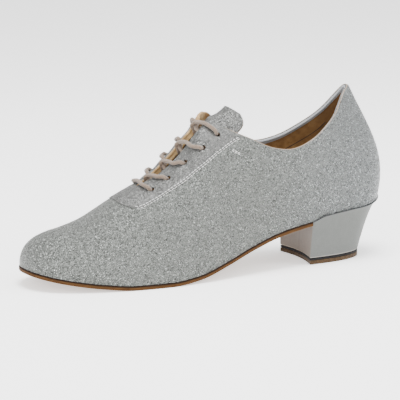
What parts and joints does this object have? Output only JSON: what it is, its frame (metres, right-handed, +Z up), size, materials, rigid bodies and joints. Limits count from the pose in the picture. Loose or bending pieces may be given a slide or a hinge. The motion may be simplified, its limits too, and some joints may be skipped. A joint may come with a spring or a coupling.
{
  "type": "ballroom dance shoe",
  "caption": "Left lace-up practice dance shoe with a closed toe, a high back, a thin sole and a covered heel of medium height, standing empty.",
  "frame": {"origin": "middle of the shoe's overall box, on the floor", "axes": "+Z up, toe towards -X, the outer side of the foot towards -Y"},
  "size_m": [0.2482, 0.0744, 0.1138],
  "materials": {
    "glitter_cloth": "silver grey glitter cloth with a suede lining",
    "insole_leather": "tan suede",
    "sole_leather": "brown, smooth edge",
    "heel_cloth": "silver grey cloth glued over a moulded block",
    "tip_rubber": "matt black",
    "tip_suede": "brown suede, napped",
    "lace_cord": "taupe round cord"
  },
  "bodies": {
    "root": {"upper": "glitter_cloth", "tongue": "glitter_cloth", "insole": "insole_leather", "outsole": "sole_leather", "heel": "heel_cloth", "heel_tip_rubber": "tip_rubber", "heel_tip_suede": "tip_suede", "lace": "lace_cord"}
  },
  "joints": []
}
